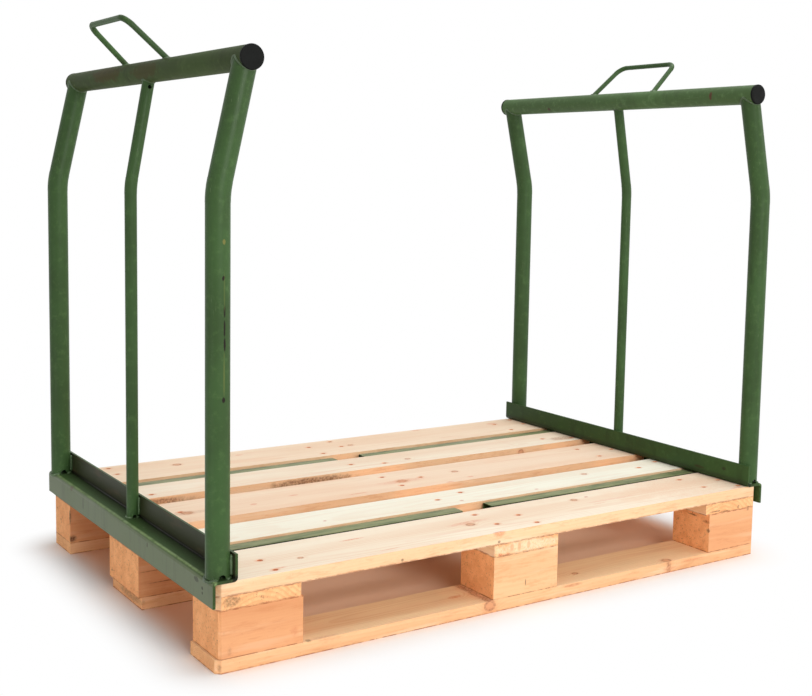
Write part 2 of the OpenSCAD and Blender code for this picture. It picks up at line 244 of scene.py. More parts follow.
def make_world():
    world = bpy.data.worlds.new("studio")
    bpy.context.scene.world = world
    world.use_nodes = True
    nt = world.node_tree
    nt.nodes.clear()
    out = nt.nodes.new("ShaderNodeOutputWorld")
    mix = nt.nodes.new("ShaderNodeMixShader")
    nt.links.new(straight_rays(nt), mix.inputs[0])
    for i, strength in ((1, WORLD_LIGHT), (2, WORLD_SEEN)):
        n = nt.nodes.new("ShaderNodeBackground")
        n.inputs["Color"].default_value = (1, 1, 1, 1)
        n.inputs["Strength"].default_value = strength
        nt.links.new(n.outputs[0], mix.inputs[i])
    nt.links.new(mix.outputs[0], out.inputs[0])


def make_floor():
    """Paper, brown under the pallet, partly its own colour and partly painted shade and bounce
    light, that takes the pallet's shadow and fades into the white background.
    """
    bm = bmesh.new()
    bmesh.ops.create_grid(bm, x_segments=FLOOR_CELLS, y_segments=FLOOR_CELLS, size=FLOOR_HALF)
    me = bpy.data.meshes.new("floor")
    bm.to_mesh(me)
    bm.free()
    floor = link(bpy.data.objects.new("floor", me))
    t = Tree("floor_paper")
    p = t.coords()
    x, y, _ = t.split(p)
    out_x = t.math("MAXIMUM", t.sub(t.abs(x), PAPER_X), 0.0)
    out_y = t.math("MAXIMUM", t.sub(t.abs(y), PAPER_Y), 0.0)
    away = t.math("SQRT", t.add(t.mul(out_x, out_x), t.mul(out_y, out_y)))
    # Browns under the pallet: the paper's own colour with painted shade and bounce light from the
    # wood
    color = t.mix(t.noise(p, 9), rgb(*PAPER_BROWN_AND_SHADE), rgb(*PAPER_PALE_AND_SHADE))
    color = t.tint(color, t.ramp(away, 0.0, WHITE_AT), PAPER_WHITE)
    t.done(color, 0.9, specular=0.1)
    fade = t.mul(t.ramp(away, *FADE), straight_rays(t.nt))
    glow = t.node("ShaderNodeEmission", {"Strength": 1.0})
    mix = t.node("ShaderNodeMixShader", {0: fade, 1: t.bsdf.outputs[0], 2: glow.outputs[0]})
    end = next(n for n in t.nt.nodes if n.type == "OUTPUT_MATERIAL")
    t.nt.links.new(mix.outputs[0], end.inputs[0])
    floor.data.materials.append(t.mat)


# The end frames' places in mm, on the right one. The rail: its up flange's outer face, the web's
# top, the start of the outer bend, the bend's radius, and 1 mm less than the rail's half length
FACE_X, WEB_Z, BEND_OUT, RAIL_R, RAIL_END = 572, 149, 602, 7, 405
# The crossbar's axis, radius and half length, and the height of the posts' bends
BAR_X, BAR_Z, BAR_R, BAR_END = 546, 936, 19, 402
BEND_Z = 738
# The handle: its feet's offset from the bar's axis, its middle's from the frame's, its width at
# the feet and at the top, its legs' length, its radius and its lean
HANDLE_X, HANDLE_OFF, HANDLE_FEET, HANDLE_TOP, HANDLE_L, HANDLE_R = 3, 14, 192, 172, 94, 5
HANDLE_LEAN = math.radians(48)
# The prongs: middle, half width, and the ends, the height and the inset of the seams that hold
# them to the rail
PRONG_Y, PRONG_HALF = 234.5, 15
PRONG_SEAM_X, PRONG_SEAM_Z, PRONG_INSET = (575, 601), 143.2, 1.4

# Where the tints of the rail and the prongs begin and end, in metres: heights, and distances from
# the middle of the pallet
CHANNEL_Z, CHANNEL_X = (0.160, 0.152), (0.6000, 0.5780)
FLANGE_X = (0.5810, 0.5780)
FILLET_X, FILLET_Z = (0.5770, 0.5750), (0.1545, 0.1520)
OUTER_X = (0.6060, 0.6080)
BEND_FROM_X, BEND_TO_X, BEND_ABOVE_Z = (0.6000, 0.6040), (0.6080, 0.6050), (0.142, 0.146)
PRONG_EDGE_Z = (0.1350, 0.1390)
# The tints' colours: painted shade in the web's channel by the up flange, painted shade with a
# browner tone on the flange's outer face, brown rust streaks, painted shade in the fillet, a
# painted grey sheen on the outer face with darker runs, a painted highlight along the outer bend,
# and painted shade along the prongs' upper side edges
CHANNEL_SHADE, FLANGE_SHADE_BROWN, FLANGE_RUST = (44, 50, 32), (46, 44, 28), (84, 66, 46)
FILLET_SHADE, OUTER_SHEEN, OUTER_RUNS = (20, 22, 14), (114, 124, 96), (66, 70, 52)
BEND_HIGHLIGHT, PRONG_SHADE = (146, 168, 112), (24, 24, 14)


def rail_zones(t, p, color, fleck):
    """The rail's faces: painted shade in the channel by the up flange, on its face and in its
    fillet, a painted sheen greying the outer face and a painted highlight on the bend.
    """
    x, _, z = t.split(p)
    nx, _, _ = t.normal()
    far = t.abs(x)
    out = t.mul(nx, t.math("SIGN", x))
    # Painted shade in the web's channel by the up flange
    channel = t.mul(t.ramp(z, *CHANNEL_Z), t.ramp(far, *CHANNEL_X, 0.1, 0.6))
    color = t.tint(color, channel, CHANNEL_SHADE)
    # Painted shade and a browner tone on the up flange's outer face, then brown streaks on it
    back = t.mul(t.ramp(out, 0.1, 0.4), t.ramp(far, *FLANGE_X))
    color = t.tint(color, t.mul(back, 0.85), FLANGE_SHADE_BROWN)
    brown = t.ramp(t.grain(p, (20, 8, 44), 3, 0.6), 0.5, 0.68, 0, 0.4)
    color = t.tint(color, t.mul(back, brown), FLANGE_RUST)
    # Painted shade in the fillet at the up flange's foot
    inner = t.mul(t.ramp(far, *FILLET_X), t.ramp(z, *FILLET_Z))
    color = t.tint(color, t.mul(inner, t.ramp(out, -0.3, 0.05, 0, 0.85)), FILLET_SHADE)
    # Painted sheen: the outer face greyed and lightened as glare from the white floor, then darker
    # runs on it
    outer = t.mul(t.ramp(out, 0.5, 0.9), t.ramp(far, *OUTER_X))
    color = t.tint(color, t.mul(outer, 0.75), OUTER_SHEEN)
    runs = t.ramp(t.grain(p, (60, 38, 5), 4, 0.7), 0.5, 0.72, 0, 0.25)
    color = t.tint(color, t.mul(outer, runs), OUTER_RUNS)
    # Painted highlight: a pale line along the outer bend
    bend = t.mul(t.ramp(far, *BEND_FROM_X), t.ramp(far, *BEND_TO_X))
    bend = t.mul(bend, t.ramp(z, *BEND_ABOVE_Z))
    bend = t.mul(bend, t.ramp(fleck, 0.3, 0.6, 0.25, 0.6))
    return t.tint(color, bend, BEND_HIGHLIGHT)


def prong_zones(t, p, color, fleck):
    """Painted shade along the upper edges of a prong's sides, which lie between the deck boards."""
    _, ny, _ = t.normal()
    _, _, z = t.split(p)
    side = t.mul(t.ramp(t.abs(ny), 0.4, 0.7), t.ramp(z, *PRONG_EDGE_Z))
    return t.tint(color, t.mul(side, t.ramp(fleck, 0.2, 0.5, 0.75, 0.92)), PRONG_SHADE)


# What the paint's colours move toward: clouds, grime, chips, rubbed film and scratches
CLOUD, GRIME, CHIP = (40, 34, 22), (30, 26, 16), (38, 34, 28)
FILM, SCRATCH = (176, 172, 126), (170, 176, 150)
# The paint's smallest and largest roughness
ROUGH_PAINT = (0.36, 0.46)


def paint(name, base, light, rub=0.0, grime=0.3, marks=(), shine=0.2, zones=None, along="x",
          dull=0.0):
    """Satin green paint on steel: clouded, rubbed on faces that slide, chipped and scratched.

    rub and grime are strengths, shine is the specular level and dull is added to the roughness.
    marks are (place, half axes, colour, strength), in mm. zones tints single faces. along is the
    axis that the scratches follow."""
    t = Tree(name)
    p = t.coords()
    nz = t.normal()[2]
    cloud = t.noise(p, 5, 4, 0.6)
    fleck = t.noise(p, 75, 4, 0.65)
    color = t.mix(t.ramp(cloud, 0.32, 0.68), rgb(*toward(base, CLOUD, 0.16)),
                  rgb(*toward(base, light, 0.16)))
    color = t.tint(color, t.ramp(fleck, 0.5, 0.75, 0, 0.28), light)
    dark = t.ramp(t.grain(p, (34, 34, 9), 4, 0.6), 0.55, 0.75, 0, grime)
    color = t.tint(color, dark, toward(base, GRIME, 0.55))
    if zones:
        color = zones(t, p, color, fleck)
    if rub:
        film = t.ramp(t.grain(p, (14, 90, 90), 4, 0.6), 0.3, 0.6, 0.35, 1)
        film = t.mul(t.ramp(nz, 0.5, 0.95), film)
        color = t.tint(color, t.mul(film, rub), toward(light, FILM, 0.8))
    scratch = t.grain(p, [30 if a == along else 420 for a in "xyz"], 3, 0.6)
    scratch = t.mul(t.ramp(scratch, 0.66, 0.72), t.ramp(t.noise(p, 9, 2), 0.45, 0.6))
    color = t.tint(color, t.mul(scratch, 0.35 + 0.4 * rub), toward(light, SCRATCH, 0.5))
    chip = t.ramp(t.noise(p, 150, 4, 0.7), 0.715 - 0.03 * rub, 0.73 - 0.03 * rub)
    chip = t.mul(chip, t.ramp(t.noise(t.mapping(p, loc=(3, 1, 2)), 12, 2), 0.5, 0.6))
    color = t.tint(color, chip, CHIP)
    for at, size, stain, strength in marks:
        edge = t.add(t.spot(p, at, size), t.mul(t.sub(fleck, 0.5), 1.6))
        color = t.tint(color, t.ramp(edge, 1.1, 0.7, 0, strength), stain)
    rough = t.ramp(cloud, 0.3, 0.7, *(r + dull for r in ROUGH_PAINT), "LINEAR")
    rough = t.add(rough, t.mul(chip, 0.35))
    dent = t.bump(t.noise(p, 24, 2), 0.0012, 0.16)
    return t.done(color, rough, t.bump(chip, -0.0003, 0.5, dent), shine)


def plastic(name):
    """Moulded black plastic with a fine grain and dull patches."""
    t = Tree(name)
    p = t.coords()
    patch = t.noise(p, 90)
    color = t.mix(patch, rgb(9, 10, 9), rgb(20, 21, 19))
    rough = t.ramp(patch, 0.3, 0.7, 0.5, 0.68, "LINEAR")
    return t.done(color, rough, t.bump(t.noise(p, 900, 2), 0.0001, 0.5), 0.1)


def rust(name):
    """Nail heads: red-brown rust with darker pits."""
    t = Tree(name)
    pits = t.noise(t.coords(), 300, 4, 0.65)
    color = t.mix(t.ramp(pits, 0.35, 0.65), rgb(160, 78, 44), rgb(216, 116, 70))
    return t.done(color, 0.8, t.bump(pits, 0.0002, 0.7), metallic=0.1)


class Wood(Tree):
    """Sawn softwood: rings about a pith outside the board, so faces show streaks and ends arcs.

    ring is the rings' width in mm, and knots are (place, radius, axis), in mm."""

    # How much longer a knot is along the grain, and its half axis, in mm, along its own axis
    KNOT_STRETCH, KNOT_DEPTH = 1.25, 400

    def __init__(self, name, along, seed, ring, knots):
        super().__init__(name)
        rnd = random.Random(seed)
        self.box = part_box(name)
        self.p = self.coords()
        nx, ny, nz = self.normal()
        x, y, self.z = self.split(self.p)
        u, v, n_end = (x, y, nx) if along == "x" else (y, x, ny)
        self.at = self.join(u, v, self.z)
        self.off = tuple(rnd.uniform(-20, 20) for _ in range(3))
        self.speck = self.specks(240, 4, 0.7)
        self.blot = self.specks(46, 4, 0.65)
        self.wobble = self.mul(self.sub(self.blot, 0.5), 1.1)
        self.fibre = self.streaks(18, 700, 3, 0.6)
        self.flat = self.ramp(self.abs(nz), 0.5, 0.85)
        self.upright = self.sub(1.0, self.flat)
        self.is_end = self.ramp(self.abs(n_end), 0.6, 0.9)

        middle = [sum(c) / 2 for c in zip(*self.box)]
        dv = self.sub(v, middle[1 if along == "x" else 0] + rnd.uniform(-0.05, 0.05))
        dz = self.sub(self.z, middle[2] - rnd.uniform(0.03, 0.11))
        r = self.math("SQRT", self.add(self.mul(dv, dv), self.mul(dz, dz)))
        r = self.add(r, self.mul(self.sub(self.streaks(1.6, 9, 2), 0.5), 0.034))
        r = self.add(r, self.mul(self.sub(self.streaks(5, 60, 3), 0.5), 0.0018))
        self.cores = []
        for place, radius, axis in knots:
            size = [radius * (self.KNOT_STRETCH if a == along else 1.0) for a in "xyz"]
            size["xyz".index(axis)] = self.KNOT_DEPTH
            d = self.spot(self.p, place, size)
            self.cores.append(self.add(d, self.mul(self.wobble, 0.35)))
            r = self.add(r, self.ramp(d, 3.4, 0.6, 0, radius * 0.9 * MM))
        wave = self.math("FRACT", self.math("DIVIDE", r, ring * MM))
        self.late = self.mul(self.ramp(wave, 0.3, 0.92), self.ramp(wave, 1.0, 0.93))

    def specks(self, scale, detail, rough):
        """Round noise, moved by this board's own offset."""
        return self.noise(self.mapping(self.p, loc=self.off), scale, detail, rough)

    def streaks(self, lengthwise, across, detail, rough=0.5):
        """Noise drawn out along the grain."""
        return self.grain(self.at, (lengthwise, across, across), detail, rough, self.off)

    def long_faces(self, face, side, streak, milky):
        """Wide faces and edges: tone, patches, late wood, fibres, specks and milky streaks."""
        tone = self.ramp(self.streaks(1.3, 15, 4, 0.6), 0.32, 0.7)
        color = self.mix(tone, rgb(*face), rgb(*toward(face, (214, 140, 92), 0.42 * streak)))
        patch = self.ramp(self.streaks(4, 13, 3, 0.6), 0.54, 0.72, 0, 0.7 * streak)
        color = self.tint(color, patch, toward(face, (238, 172, 128), 0.6))
        edge = self.mix(tone, rgb(*side), rgb(*toward(side, (186, 108, 60), 0.35 * streak)))
        color = self.mix(self.flat, edge, color)
        line = self.ramp(self.streaks(3, 30, 2), 0.35, 0.65, 0.08, 0.36 * streak + 0.06)
        line = self.mul(self.mul(self.late, line), self.ramp(self.flat, 0, 1, 0.55, 1, "LINEAR"))
        color = self.tint(color, line, toward(side, (206, 128, 80), 0.7))
        fibre = self.ramp(self.fibre, 0.52, 0.85, 0, 0.2)
        color = self.tint(color, fibre, toward(side, (176, 108, 64), 0.6))
        speck = self.mul(self.upright, self.ramp(self.speck, 0.62, 0.7, 0, 0.3))
        color = self.tint(color, speck, (190, 120, 76))
        mottle = self.ramp(self.streaks(16, 100, 4, 0.75), 0.5, 0.66, 0, 0.34)
        color = self.tint(color, self.mul(self.upright, mottle), toward(side, (196, 116, 68), 0.7))
        milk = self.ramp(self.streaks(4, 60, 3, 0.6), 0.52, 0.68, 0, milky)
        return self.tint(color, self.mul(self.upright, milk), toward(side, (255, 234, 206), 0.7))

    def sawn_ends(self, end, arcs):
        """Ends: blotches, the rings' arcs, specks and pits."""
        color = self.mix(self.ramp(self.blot, 0.35, 0.65), rgb(*toward(end, (255, 205, 150), 0.2)),
                         rgb(*toward(end, (170, 92, 50), 0.16)))
        color = self.tint(color, self.mul(self.late, arcs), toward(end, (220, 130, 80), 0.8))
        speck = self.ramp(self.speck, 0.56, 0.66, 0, 0.45)
        color = self.tint(color, speck, toward(end, (104, 58, 34), 0.75))
        pits = self.ramp(self.specks(115, 3, 0.6), 0.66, 0.70, 0, 0.6)
        return self.tint(color, pits, (124, 68, 40))

    def joint_shade(self, color, lower, upper):
        """Painted shade: a broken dark red line in the gap along the lower and the upper joint, of
        these strengths.
        """
        near, gone = 0.0009, 0.0024
        low, high = (c[2] for c in self.box)
        seam = self.ramp(self.sub(self.z, low), gone, near, 0, lower)
        if upper:
            top = self.ramp(self.sub(high, self.z), gone, near, 0, upper)
            seam = self.math("MAXIMUM", seam, top)
        patchy = self.ramp(self.grain(self.p, (70, 70, 20), 3, 0.6, self.off), 0.35, 0.6, 0.15, 1)
        return self.tint(color, self.mul(self.mul(seam, patchy), self.upright), (150, 74, 42))

    def knot_rings(self, color, side):
        """Each knot: a halo, a brown core and a dark, broken rim."""
        for d in self.cores:
            halo = toward(side, (222, 146, 100), 0.7)
            color = self.tint(color, self.ramp(d, 2.2, 1.0, 0, 0.3), halo)
            color = self.tint(color, self.ramp(d, 1.15, 0.8, 0, 0.55), (208, 140, 102))
            rim = self.mul(self.ramp(d, 1.25, 1.05), self.ramp(d, 0.55, 0.85))
            rim = self.mul(rim, self.ramp(self.speck, 0.4, 0.6, 0.1, 0.6))
            color = self.tint(color, rim, (150, 84, 54))
        return color

    def nail_stains(self, color, nails):
        """A rusty smear along the grain at each nail, with half axes in mm."""
        for place in nails:
            d = self.add(self.spot(self.p, place, (8.0, 5.0, 30)), self.wobble)
            color = self.tint(color, self.ramp(d, 1.6, 0.7, 0, 0.4), (230, 150, 104))
        return color

    def stains(self, color, marks):
        for place, size, stain, strength, turn in marks:
            d = self.add(self.spot(self.p, place, size, turn), self.wobble)
            patchy = self.ramp(self.speck, 0.38, 0.6, 0.45, 1.0)
            color = self.tint(color, self.mul(patchy, self.ramp(d, 1.25, 0.5, 0, strength)), stain)
        return color


def wood(name, along, seed, face, side, end, ring, streak, arcs, joint, milky=0.42, nails=(),
         knots=(), marks=()):
    """The wood of one board or block, with its grain along x or y.

    face colours the wide faces, side the edges and end the sawn ends. streak and arcs are the
    strengths of the rings on the faces and the ends, joint those of the lines along the lower and
    the upper joint, and milky that of the pale streaks on the edges. nails are places in mm, knots
    (place, radius, axis) and marks (place, half axes, colour, strength, turn)."""
    t = Wood(name, along, seed, ring, knots)
    color = t.long_faces(face, side, streak, milky)
    color = t.mix(t.is_end, color, t.sawn_ends(end, arcs))
    # Painted shade along the joints between pieces
    color = t.joint_shade(color, *joint)
    color = t.knot_rings(color, side)
    color = t.nail_stains(color, nails)
    color = t.stains(color, marks)
    height = t.add(t.mul(t.late, 0.3), t.mul(t.fibre, 0.55))
    height = t.add(height, t.mul(t.is_end, t.mul(t.speck, 1.6)))
    rough = t.ramp(t.fibre, 0.3, 0.8, 0.66, 0.84, "LINEAR")
    return t.done(color, rough, t.bump(height, 0.0005, 0.5), 0.2)


# Points this near are one, faces that turn by less are flat, and edges that turn by more are sharp
MERGE, FLAT_ANGLE, SHARP_ANGLE = 1e-6, math.radians(0.5), math.radians(35)
BEVEL_STEPS = 2


def soften(ob, width):
    """Joins the CAD mesh's split edges and flat triangles, then rounds its sharp edges a little."""
    weld = ob.modifiers.new("weld", "WELD")
    weld.merge_threshold = MERGE
    flat = ob.modifiers.new("flat", "DECIMATE")
    flat.decimate_type = "DISSOLVE"
    flat.angle_limit = FLAT_ANGLE
    bevel = ob.modifiers.new("bevel", "BEVEL")
    bevel.width = width
    bevel.segments = BEVEL_STEPS
    bevel.limit_method = "ANGLE"
    bevel.angle_limit = SHARP_ANGLE
    bevel.use_clamp_overlap = True
    bevel.harden_normals = True


def dress(name, mat):
    ob = NODES[name]
    ob.data.materials.clear()
    ob.data.materials.append(mat)


# Points this near a nail's first one belong to its head, and heads lie this close to their level
HEAD_WIDTH, LEVEL_SLACK = 0.0105, 1e-5


def nail_places(name, sign):
    """Middles, in mm, of the nail heads of a node: sign 1 for heads on top, -1 for heads below."""
    points = [v.co for v in NODES[name].data.vertices]
    level = max(sign * c.z for c in points)
    heads = []
    for c in points:
        if sign * c.z <= level - LEVEL_SLACK:
            continue
        head = next((h for h in heads if (h[0] - c.xy).length < HEAD_WIDTH), None)
        if head is None:
            heads.append([c.xy.copy(), c.xy.copy(), c.xy.copy()])
        else:
            for i, pick in ((1, min), (2, max)):
                head[i] = Vector((pick(head[i].x, c.x), pick(head[i].y, c.y)))
    return [(*((low + high) / 2 * 1000), sign * level * 1000) for _, low, high in heads]


# Colours of the boards' wide faces, from pale to pinkish, of edges and of sawn ends
PALE, CREAM, PINK, SANDY = (253, 240, 218), (251, 248, 230), (252, 228, 202), (253, 232, 206)
SIDE, END = (249, 208, 164), (253, 196, 140)
STRINGER_FACE = (246, 198, 152)
BOTTOM_FACE, BOTTOM_SIDE = (255, 224, 180), (244, 196, 148)
BLOCK, BLOCK_MIDDLE, BLOCK_RIGHT = (230, 168, 120), (247, 200, 152), (240, 180, 132)
BLOCK_END = (255, 182, 122)

# wood()'s values for each kind of piece, by the end of its name, and a few pieces' own
LOOKS = {
    "_block": dict(face=BLOCK, side=BLOCK, end=BLOCK_END, ring=4.6, streak=0.7, arcs=0.15,
                   joint=(0.8, 0.8), milky=0.2),
    "_stringer_board": dict(face=STRINGER_FACE, side=SIDE, end=END, ring=8.0, streak=0.7,
                            arcs=0.4, joint=(0.7, 0.7)),
    "_bottom_board": dict(face=BOTTOM_FACE, side=BOTTOM_SIDE, end=END, ring=3.8, streak=0.6,
                          arcs=0.3, joint=(0.8, 0)),
    "_deck_board": dict(face=PALE, side=SIDE, end=END, ring=3.8, streak=0.42, arcs=0.3,
                        joint=(0.6, 0)),
}
OWN_LOOKS = {
    "near_mid_deck_board": dict(face=CREAM, streak=0.2),
    "middle_deck_board": dict(face=PINK),
    "far_deck_board": dict(face=SANDY),
    "near_middle_block": dict(face=BLOCK_MIDDLE, side=BLOCK_MIDDLE),
    "near_right_block": dict(face=BLOCK_RIGHT, side=BLOCK_RIGHT),
}

# Knots: place in mm, radius and the axis that they run along
KNOTS = {
    "near_deck_board": [
        ((-79, -335, 140), 7, "z"), ((194, -300, 140), 6, "z"), ((-430, -350, 140), 4, "z")],
    "near_mid_deck_board": [((350, -150, 140), 5, "z")],
    "middle_deck_board": [
        ((-16, -9, 140), 9, "z"), ((124, 4, 140), 6, "z"), ((-484, -12, 140), 8, "z")],
    "far_mid_deck_board": [((390, 116, 133), 6, "y"), ((100, 150, 140), 5, "z")],
    "far_deck_board": [((-356, 346, 140), 7, "z"), ((60, 330, 140), 5, "z")],
    "near_bottom_board": [
        ((-80, -400, 14), 9, "y"), ((357, -392, 22), 8, "z"), ((150, -360, 22), 5, "z")],
    "middle_bottom_board": [((-300, 10, 11), 9, "z"), ((250, -30, 11), 7, "z")],
    "far_bottom_board": [((-200, 350, 11), 8, "z"), ((420, 340, 11), 6, "z")],
}

# Marks on the wood: place in mm, half axes, colour, strength and turn about Z
DASH, RED, DIRT, DARK = (224, 130, 88), (196, 84, 52), (176, 120, 82), (92, 60, 42)
MILKY, ORANGE, BARK, CRACK = (252, 226, 192), (230, 138, 88), (120, 78, 50), (140, 84, 50)
MARKS = {
    "near_deck_board": [
        ((-307, -305, 144), (24, 2.4, 9), DASH, 0.85, 0),
        ((-283, -385, 144), (20, 3, 9), DASH, 0.35, 0.1),
        ((-482, -379, 144), (12, 4, 9), DASH, 0.5, 0),
        ((-79, -322, 144), (46, 7, 9), DASH, 0.4, 0.05),
        ((230, -294, 144), (5, 3.4, 9), RED, 0.9, 0),
        ((220, -343, 144), (16, 3, 9), DASH, 0.35, 0),
        ((544, -394, 144), (14, 5, 9), DASH, 0.5, 0),
        ((-61, -400, 144), (15, 5, 9), DASH, 0.7, 0),
        ((-265, -400, 127), (3, 9, 2.5), DARK, 0.8, 0),
        ((-63, -400, 127), (3, 9, 2.5), DARK, 0.8, 0),
        ((470, -330, 144), (190, 70, 9), (238, 188, 150), 0.4, 0),
        ((260, -330, 144), (60, 6, 9), DASH, 0.22, 0),
        ((-150, -360, 144), (90, 5, 9), DASH, 0.16, 0.04)],
    "near_mid_deck_board": [
        ((-292, -183, 144), (4, 3, 9), RED, 0.8, 0),
        ((2, -193, 144), (5, 4, 9), RED, 0.6, 0),
        ((183, -198, 144), (5, 4, 9), RED, 0.5, 0)],
    "middle_deck_board": [
        ((65, -64, 144), (10, 4, 9), DASH, 0.6, 0),
        ((128, -48, 144), (9, 4, 9), DASH, 0.6, 0),
        ((-353, -18, 144), (7, 5, 9), DASH, 0.6, 0),
        ((-260, 2, 144), (12, 4, 9), DASH, 0.5, 0),
        ((-144, -49, 144), (26, 3, 9), DASH, 0.55, 0),
        ((-484, -12, 144), (42, 12, 9), DIRT, 0.3, 0),
        ((-16, -9, 144), (60, 12, 9), DASH, 0.35, 0)],
    "far_mid_deck_board": [
        ((545, 148, 144), (42, 18, 9), DIRT, 0.65, 0),
        ((-160, 116, 133), (100, 4, 9), BARK, 0.8, 0),
        ((-490, 116, 133), (70, 4, 9), BARK, 0.75, 0)],
    "far_deck_board": [
        ((-205, 363, 144), (10, 5, 9), DASH, 0.5, 0),
        ((494, 368, 144), (16, 8, 9), DASH, 0.45, 0),
        ((281, 393, 144), (14, 5, 9), DASH, 0.6, 0)],
    "left_stringer_board": [((-575, -400, 112), (16, 4, 9), (150, 110, 76), 0.75, 0)],
    "middle_stringer_board": [
        ((0, -400, 111), (80, 4, 12), MILKY, 0.8, 0),
        ((-34, -400, 112), (5, 4, 8), ORANGE, 0.6, 0),
        ((-17, -400, 112), (4, 4, 9), ORANGE, 0.6, 0),
        ((4, -400, 112), (4, 4, 8), ORANGE, 0.5, 0),
        ((-60, -400, 103), (5, 4, 2.4), RED, 0.7, 0),
        ((-42, -400, 102), (4, 4, 2), RED, 0.7, 0)],
    "right_stringer_board": [
        ((482, -400, 105), (17, 4, 1.5), DARK, 0.85, 0),
        ((509, -400, 102), (14, 4, 1.5), DARK, 0.85, 0),
        ((548, -400, 106), (3.4, 4, 4), DARK, 0.6, 0),
        ((577, -400, 102), (5, 4, 2), DARK, 0.6, 0)],
    "near_left_block": [
        ((-588, -396, 62), (6, 4, 14), (170, 112, 74), 0.5, 0),
        ((-466, -396, 46), (9, 5, 12), (206, 118, 72), 0.6, 0),
        ((-578, -396, 34), (5, 5, 9), DIRT, 0.5, 0)],
    "near_middle_block": [((-1, -400, 42), (1.4, 4, 7), (110, 70, 46), 0.8, 0)],
    "near_right_block": [
        ((466, -353, 90), (3, 12, 1.6), DARK, 0.9, 0),
        ((466, -392, 84), (4, 9, 4), (150, 84, 52), 0.7, 0),
        ((466, -398, 67), (3.4, 3.4, 4), (48, 30, 24), 0.95, 0),
        ((577, -400, 97), (4, 4, 3), DARK, 0.6, 0)],
    "middle_left_block": [
        ((-540, -72, 68), (60, 5, 1.3), CRACK, 0.75, 0),
        ((-530, -72, 46), (60, 5, 1.2), CRACK, 0.75, 0),
        ((-480, -72, 27), (20, 5, 5), DARK, 0.8, 0)],
    "far_left_block": [
        ((-600, 302, 74), (3, 3.5, 16), (48, 34, 26), 0.95, 0),
        ((-596, 300, 32), (10, 5, 7), DARK, 0.9, 0)],
    "near_bottom_board": [
        ((112, -400, 18), (24, 4, 3), (200, 122, 86), 0.6, 0),
        ((359, -400, 8), (18, 4, 3), (206, 132, 92), 0.5, 0),
        ((425, -400, 16), (32, 4, 1.6), DASH, 0.5, 0),
        ((-440, -396, 22), (5, 6, 2.4), DARK, 0.6, 0),
        ((-596, -400, 10), (5, 5, 8), (160, 104, 70), 0.6, 0),
        ((-410, -396, 20), (30, 6, 4), (222, 160, 122), 0.5, 0),
        ((-120, -350, 22), (14, 6, 4), DASH, 0.7, 0)],
    "middle_bottom_board": [((-592, -20, 12), (8, 60, 9), (132, 92, 66), 0.6, 0)],
}

# How far above or below a board, in mm, a nail's head may lie, and the bevels of the visible edges
HEAD_REACH = 3
BOARD_BEVEL, RAIL_BEVEL, PRONG_BEVEL = 0.0012, 0.0008, 0.0004


def dress_pallet():
    tops, bottoms = nail_places("deck_nails", 1), nail_places("bottom_nails", -1)
    for seed, (name, ob) in enumerate(NODES.items()):
        kind = next((k for k in LOOKS if name.endswith(k)), None)
        if name.endswith("_nails"):
            dress(name, rust("rust_" + name))
        elif kind:
            lo, hi = (Vector(c) * 1000 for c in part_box(name))
            nails = [n for n in (bottoms if "bottom" in name else tops)
                     if lo.x < n[0] < hi.x and lo.y < n[1] < hi.y
                     and lo.z - HEAD_REACH < n[2] < hi.z + HEAD_REACH]
            look = {**LOOKS[kind], **OWN_LOOKS.get(name, {})}
            dress(name, wood(name, "y" if "stringer" in name else "x", seed, **look, nails=nails,
                             knots=KNOTS.get(name, ()), marks=MARKS.get(name, ())))
            soften(ob, BOARD_BEVEL)


# Marks on the paint: place in mm, half axes, colour and strength
RAIL_MARKS = [
    ((-609, -345, 138), (5, 9, 5), (60, 64, 48), 0.8),
    ((-609, -367, 130), (5, 3, 3), (40, 40, 30), 0.85),
    ((-609, -367, 122), (5, 2.4, 2.4), (40, 40, 30), 0.85),
    ((-609, -138, 137), (5, 3, 5), (58, 58, 44), 0.8),
    ((-609, 262, 144), (5, 8, 6), (96, 78, 60), 0.7),
    ((-609, 193, 130), (5, 3, 12), (60, 64, 48), 0.6),
    ((-600, -386, 147), (9, 11, 6), (74, 66, 42), 0.7),
    ((567, -270, 160), (5, 16, 3), (60, 50, 34), 0.7),
    ((567, -340, 170), (5, 6, 4), (50, 48, 34), 0.7),
    ((609, 150, 128), (5, 14, 8), (50, 52, 38), 0.6),
]
# Chips, the tubes' own seam, brown smears on the left crossbar and rust spots on the right one
BLACK, OLIVE, BROWN = (34, 26, 22), (98, 108, 56), (76, 66, 38)
TUBE_MARKS = [
    ((-590, -402, 610), (3, 3, 4), BLACK, 1.0),
    ((-589.6, -402, 427), (3, 3, 5), BLACK, 1.0),
    ((-588.4, -402, 560), (1.6, 3, 10), BLACK, 0.95),
    ((-588.4, -402, 535), (1.6, 3, 14), BLACK, 0.95),
    ((-588.2, -402, 510), (2.0, 3, 12), BLACK, 1.0),
    ((-589, -402, 465), (1.3, 3, 40), OLIVE, 0.7),
    ((-588.6, -402, 590), (1.2, 3, 34), OLIVE, 0.4),
    ((-589, -402, 664), (2.4, 3, 4), (120, 116, 60), 0.8),
    ((-562, 170, 940), (14, 80, 16), BROWN, 0.7),
    ((-562, -20, 936), (14, 70, 14), BROWN, 0.55),
    ((-552, 120, 952), (24, 230, 12), (62, 62, 42), 0.4),
    ((527, -296, 937), (6, 4, 8), (88, 50, 38), 0.9),
    ((530, 222, 925), (6, 6, 4), (70, 44, 34), 0.8),
]


